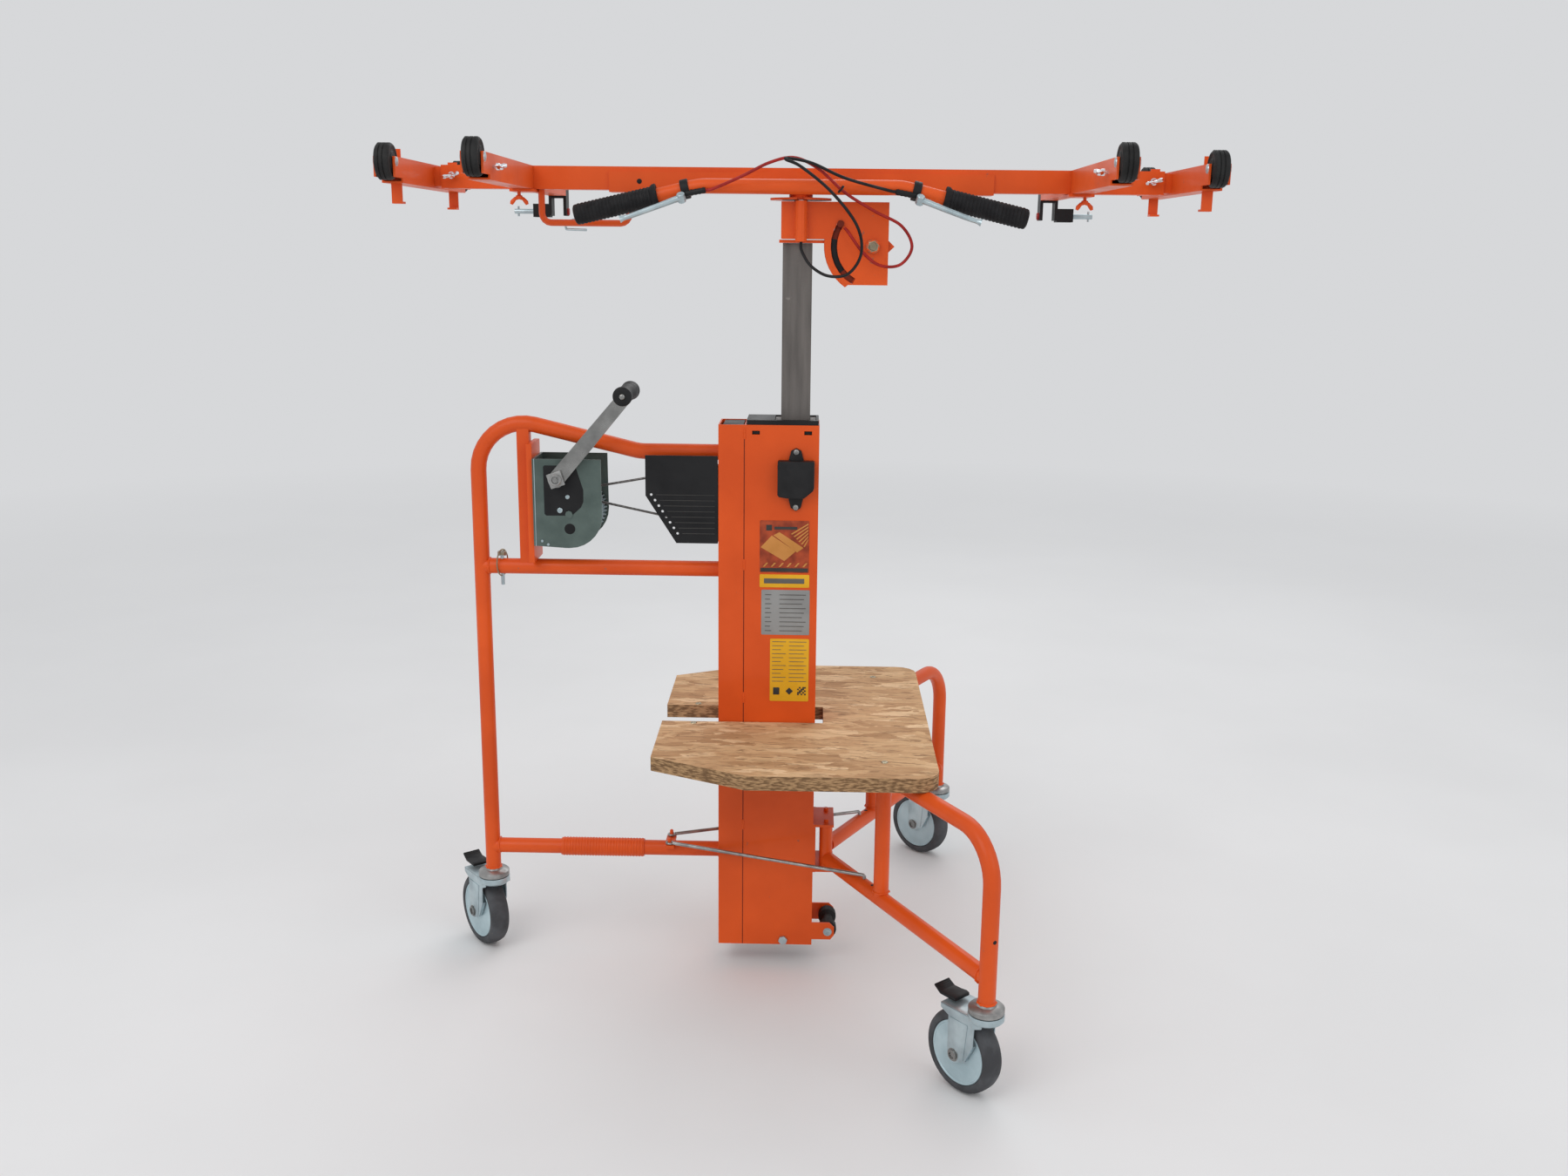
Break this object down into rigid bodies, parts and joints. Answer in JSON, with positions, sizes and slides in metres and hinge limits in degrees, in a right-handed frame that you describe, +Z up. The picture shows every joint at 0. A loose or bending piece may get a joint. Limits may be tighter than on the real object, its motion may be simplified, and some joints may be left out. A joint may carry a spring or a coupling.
{
  "type": "drywall lift",
  "caption": "Wheeled tripod lift with a telescopic mast, hand winch and a tilting, swivelling cross table for raising boards.",
  "frame": {"origin": "middle of the underside of the whole lift, on the floor", "axes": "+Z up, +X along the rear beam towards the folding legs, +Y across the mast"},
  "size_m": [1.172, 0.958, 1.3179],
  "materials": {
    "board_catch_left": "matte",
    "board_catch_right": "matte",
    "brake_lever_left": "zinc plated",
    "brake_lever_right": "zinc plated",
    "crank_arm": "zinc plated",
    "crank_grip": "matte",
    "edge_stop_left_far": "satin powder coat",
    "edge_stop_left_near": "satin powder coat",
    "edge_stop_right_far": "satin powder coat",
    "edge_stop_right_near": "satin powder coat",
    "extension_left": "satin powder coat",
    "extension_right": "satin powder coat",
    "far_brake_pedal": "matte",
    "far_castor_fork": "zinc plated",
    "far_castor_wheel": "matte tread",
    "grip_left": "matte",
    "grip_right": "matte",
    "guard_plate": "matte",
    "handlebar": "satin powder coat",
    "head_bracket": "satin powder coat",
    "inner_arm_left": "satin powder coat",
    "inner_arm_right": "satin powder coat",
    "inner_wheel_left": "matte",
    "inner_wheel_right": "matte",
    "leg_far": "satin powder coat",
    "leg_near": "satin powder coat",
    "lock_pin": "zinc plated",
    "mast_housing": "satin powder coat",
    "mast_inner": "satin powder coat",
    "mast_mid": "satin powder coat",
    "mast_top_guide": "matte",
    "near_brake_pedal": "matte",
    "near_castor_fork": "zinc plated",
    "near_castor_wheel": "matte tread",
    "outer_wheel_left_far": "matte",
    "outer_wheel_left_near": "matte",
    "outer_wheel_right_far": "matte",
    "outer_wheel_right_near": "matte",
    "pulley_cover": "matte",
    "rear_brake_pedal": "matte",
    "rear_castor_fork": "zinc plated",
    "rear_castor_wheel": "matte tread",
    "rear_frame": "satin powder coat",
    "rope_pulley": "zinc plated",
    "shelf_board": "raw strand board",
    "skid_rollers": "matte",
    "stay_far": "zinc plated",
    "stay_near": "zinc plated",
    "swivel_cable": "matte",
    "swivel_plunger": "zinc plated",
    "table_beam": "satin powder coat",
    "table_channel": "satin powder coat",
    "tilt_cable": "matte",
    "tilt_frame": "satin powder coat",
    "tilt_latch": "zinc plated",
    "winch_drum": "zinc plated",
    "winch_frame": "satin powder coat",
    "winch_rope": "zinc plated",
    "winch_shaft": "zinc plated"
  },
  "bodies": {
    "base": {"mast_housing": "mast_housing", "mast_top_guide": "mast_top_guide", "pulley_cover": "pulley_cover", "rear_frame": "rear_frame", "guard_plate": "guard_plate", "winch_frame": "winch_frame", "winch_rope": "winch_rope", "shelf_board": "shelf_board"},
    "lock_pin_body": {"lock_pin": "lock_pin"},
    "skid_roller_body": {"skid_rollers": "skid_rollers"},
    "rope_pulley_body": {"rope_pulley": "rope_pulley"},
    "drum_body": {"winch_drum": "winch_drum"},
    "crank_body": {"winch_shaft": "winch_shaft", "crank_arm": "crank_arm"},
    "crank_grip_body": {"crank_grip": "crank_grip"},
    "mid_section": {"mast_mid": "mast_mid"},
    "inner_section": {"mast_inner": "mast_inner", "head_bracket": "head_bracket"},
    "tilt_head": {"tilt_frame": "tilt_frame"},
    "tilt_latch_body": {"tilt_latch": "tilt_latch"},
    "plunger_body": {"swivel_plunger": "swivel_plunger"},
    "table": {"table_channel": "table_channel", "table_beam": "table_beam", "handlebar": "handlebar", "grip_left": "grip_left", "grip_right": "grip_right", "inner_arm_left": "inner_arm_left", "inner_arm_right": "inner_arm_right", "board_catch_left": "board_catch_left", "board_catch_right": "board_catch_right", "tilt_cable": "tilt_cable", "swivel_cable": "swivel_cable"},
    "lever_left_body": {"brake_lever_left": "brake_lever_left"},
    "lever_right_body": {"brake_lever_right": "brake_lever_right"},
    "slide_left": {"extension_left": "extension_left"},
    "slide_right": {"extension_right": "extension_right"},
    "leg_near_body": {"leg_near": "leg_near"},
    "stay_near_body": {"stay_near": "stay_near"},
    "leg_far_body": {"leg_far": "leg_far"},
    "stay_far_body": {"stay_far": "stay_far"},
    "rear_fork_body": {"rear_castor_fork": "rear_castor_fork"},
    "rear_wheel_body": {"rear_castor_wheel": "rear_castor_wheel"},
    "rear_pedal_body": {"rear_brake_pedal": "rear_brake_pedal"},
    "near_fork_body": {"near_castor_fork": "near_castor_fork"},
    "near_wheel_body": {"near_castor_wheel": "near_castor_wheel"},
    "near_pedal_body": {"near_brake_pedal": "near_brake_pedal"},
    "far_fork_body": {"far_castor_fork": "far_castor_fork"},
    "far_wheel_body": {"far_castor_wheel": "far_castor_wheel"},
    "far_pedal_body": {"far_brake_pedal": "far_brake_pedal"},
    "wheel_left_near": {"outer_wheel_left_near": "outer_wheel_left_near"},
    "stop_left_near": {"edge_stop_left_near": "edge_stop_left_near"},
    "wheel_left_far": {"outer_wheel_left_far": "outer_wheel_left_far"},
    "stop_left_far": {"edge_stop_left_far": "edge_stop_left_far"},
    "inner_wheel_left_body": {"inner_wheel_left": "inner_wheel_left"},
    "wheel_right_near": {"outer_wheel_right_near": "outer_wheel_right_near"},
    "stop_right_near": {"edge_stop_right_near": "edge_stop_right_near"},
    "wheel_right_far": {"outer_wheel_right_far": "outer_wheel_right_far"},
    "stop_right_far": {"edge_stop_right_far": "edge_stop_right_far"},
    "inner_wheel_right_body": {"inner_wheel_right": "inner_wheel_right"}
  },
  "joints": [
    {"name": "mid_lift", "type": "slide", "parent": "base", "child": "mid_section", "axis": [0, 0, 1], "range_m": [0, 0.62]},
    {"name": "inner_lift", "type": "slide", "parent": "mid_section", "child": "inner_section", "axis": [0, 0, 1], "range_m": [0, 0.62]},
    {"name": "drum_spin", "type": "hinge", "parent": "base", "child": "drum_body", "pos_m": [-0.359, -0.02397, 0.77011], "axis": [0, 1, 0], "range_deg": [-1067, 0]},
    {"name": "crank_turn", "type": "hinge", "parent": "base", "child": "crank_body", "pos_m": [-0.3755, -0.02397, 0.82781], "axis": [0, 1, 0], "range_deg": [0, 4264]},
    {"name": "pulley_spin", "type": "hinge", "parent": "base", "child": "rope_pulley_body", "pos_m": [-0.102, -0.02397, 0.83341], "axis": [0, 1, 0], "range_deg": [-2453, 0]},
    {"name": "grip_spin", "type": "hinge", "parent": "crank_body", "child": "crank_grip_body", "pos_m": [-0.2567, -0.18346, 0.96791], "axis": [0, 1, 0], "continuous": true},
    {"name": "pin_pull", "type": "slide", "parent": "base", "child": "lock_pin_body", "axis": [0, 0, 1], "range_m": [0, 0.03]},
    {"name": "roller_spin", "type": "hinge", "parent": "base", "child": "skid_roller_body", "pos_m": [0.06, -0.02397, 0.06191], "axis": [0, 1, 0], "continuous": true},
    {"name": "leg_near_fold", "type": "hinge", "parent": "base", "child": "leg_near_body", "pos_m": [0.055, -0.04897, 0.18991], "axis": [0, 0, 1], "range_deg": [0, 45]},
    {"name": "stay_near_turn", "type": "hinge", "parent": "base", "child": "stay_near_body", "pos_m": [-0.207, -0.04197, 0.20891], "axis": [0, 0, -1], "range_deg": [0, 35]},
    {"name": "leg_far_fold", "type": "hinge", "parent": "base", "child": "leg_far_body", "pos_m": [0.055, 0.00103, 0.18991], "axis": [0, 0, -1], "range_deg": [0, 45]},
    {"name": "stay_far_turn", "type": "hinge", "parent": "base", "child": "stay_far_body", "pos_m": [-0.207, -0.00596, 0.20891], "axis": [0, 0, 1], "range_deg": [0, 35]},
    {"name": "rear_castor_swivel", "type": "hinge", "parent": "base", "child": "rear_fork_body", "pos_m": [-0.509, -0.02397, 0.13761], "axis": [0, 0, 1], "continuous": true},
    {"name": "rear_wheel_spin", "type": "hinge", "parent": "rear_fork_body", "child": "rear_wheel_body", "pos_m": [-0.53291, 0.00557, 0.06241], "axis": [-0.7771, -0.6293, 0], "continuous": true},
    {"name": "rear_brake_press", "type": "hinge", "parent": "rear_fork_body", "child": "rear_pedal_body", "pos_m": [-0.54298, 0.018, 0.14091], "axis": [-0.7771, -0.6293, 0], "range_deg": [0, 15]},
    {"name": "near_castor_swivel", "type": "hinge", "parent": "leg_near_body", "child": "near_fork_body", "pos_m": [0.279, -0.44997, 0.13761], "axis": [0, 0, 1], "continuous": true},
    {"name": "near_wheel_spin", "type": "hinge", "parent": "near_fork_body", "child": "near_wheel_body", "pos_m": [0.25407, -0.42129, 0.06241], "axis": [-0.7547, -0.6561, 0], "continuous": true},
    {"name": "near_brake_press", "type": "hinge", "parent": "near_fork_body", "child": "near_pedal_body", "pos_m": [0.24357, -0.40921, 0.14091], "axis": [-0.7547, -0.6561, 0], "range_deg": [0, 15]},
    {"name": "far_castor_swivel", "type": "hinge", "parent": "leg_far_body", "child": "far_fork_body", "pos_m": [0.279, 0.40203, 0.13761], "axis": [0, 0, 1], "continuous": true},
    {"name": "far_wheel_spin", "type": "hinge", "parent": "far_fork_body", "child": "far_wheel_body", "pos_m": [0.25121, 0.42795, 0.06241], "axis": [-0.682, -0.7314, 0], "continuous": true},
    {"name": "far_brake_press", "type": "hinge", "parent": "far_fork_body", "child": "far_pedal_body", "pos_m": [0.23951, 0.43886, 0.14091], "axis": [-0.682, -0.7314, 0], "range_deg": [0, 15]},
    {"name": "table_tilt", "type": "hinge", "parent": "inner_section", "child": "tilt_head", "pos_m": [0.1097, -0.02397, 1.18571], "axis": [0, 1, 0], "range_deg": [0, 90]},
    {"name": "table_swivel", "type": "hinge", "parent": "tilt_head", "child": "table", "pos_m": [0, -0.02397, 1.25291], "axis": [0, 0, 1], "range_deg": [-90, 90], "deforming": ["tilt_cable", "swivel_cable"]},
    {"name": "latch_pull", "type": "slide", "parent": "tilt_head", "child": "tilt_latch_body", "axis": [-0.8333, 0, 0.5527], "range_m": [0, 0.0061]},
    {"name": "plunger_pull", "type": "slide", "parent": "tilt_head", "child": "plunger_body", "axis": [0, 0, -1], "range_m": [0, 0.0061]},
    {"name": "lever_left_squeeze", "type": "hinge", "parent": "table", "child": "lever_left_body", "pos_m": [-0.17536, -0.10294, 1.25262], "axis": [0.1956, 0.5189, -0.8322], "range_deg": [0, 12], "stiffness_Nm_per_rad": 1.5},
    {"name": "slide_left_out", "type": "slide", "parent": "table", "child": "slide_left", "axis": [-1, 0, 0], "range_m": [0, 0.2]},
    {"name": "wheel_left_near_spin", "type": "hinge", "parent": "slide_left", "child": "wheel_left_near", "pos_m": [-0.571, -0.23797, 1.29291], "axis": [1, 0, 0], "continuous": true},
    {"name": "stop_left_near_rise", "type": "slide", "parent": "slide_left", "child": "stop_left_near", "axis": [0, 0, 1], "range_m": [0, 0.024]},
    {"name": "wheel_left_far_spin", "type": "hinge", "parent": "slide_left", "child": "wheel_left_far", "pos_m": [-0.571, 0.19004, 1.29291], "axis": [1, 0, 0], "continuous": true},
    {"name": "stop_left_far_rise", "type": "slide", "parent": "slide_left", "child": "stop_left_far", "axis": [0, 0, 1], "range_m": [0, 0.024]},
    {"name": "inner_wheel_left_spin", "type": "hinge", "parent": "table", "child": "inner_wheel_left_body", "pos_m": [-0.42, -0.36796, 1.29291], "axis": [1, 0, 0], "continuous": true},
    {"name": "lever_right_squeeze", "type": "hinge", "parent": "table", "child": "lever_right_body", "pos_m": [0.17536, -0.10294, 1.25262], "axis": [0.1956, -0.5189, 0.8322], "range_deg": [0, 12], "stiffness_Nm_per_rad": 1.5},
    {"name": "slide_right_out", "type": "slide", "parent": "table", "child": "slide_right", "axis": [1, 0, 0], "range_m": [0, 0.2]},
    {"name": "wheel_right_near_spin", "type": "hinge", "parent": "slide_right", "child": "wheel_right_near", "pos_m": [0.571, -0.23797, 1.29291], "axis": [1, 0, 0], "continuous": true},
    {"name": "stop_right_near_rise", "type": "slide", "parent": "slide_right", "child": "stop_right_near", "axis": [0, 0, 1], "range_m": [0, 0.024]},
    {"name": "wheel_right_far_spin", "type": "hinge", "parent": "slide_right", "child": "wheel_right_far", "pos_m": [0.571, 0.19004, 1.29291], "axis": [1, 0, 0], "continuous": true},
    {"name": "stop_right_far_rise", "type": "slide", "parent": "slide_right", "child": "stop_right_far", "axis": [0, 0, 1], "range_m": [0, 0.024]},
    {"name": "inner_wheel_right_spin", "type": "hinge", "parent": "table", "child": "inner_wheel_right_body", "pos_m": [0.42, -0.36796, 1.29291], "axis": [1, 0, 0], "continuous": true}
  ],
  "couplings": [
    {"joint": "inner_lift", "follows": "mid_lift", "ratio": 1},
    {"joint": "drum_spin", "follows": "mid_lift", "rad_per_m": -30},
    {"joint": "crank_turn", "follows": "mid_lift", "rad_per_m": 120},
    {"joint": "pulley_spin", "follows": "mid_lift", "rad_per_m": -69},
    {"joint": "latch_pull", "follows": "lever_left_squeeze", "m_per_rad": 0.028648},
    {"joint": "plunger_pull", "follows": "lever_right_squeeze", "m_per_rad": 0.028648}
  ]
}
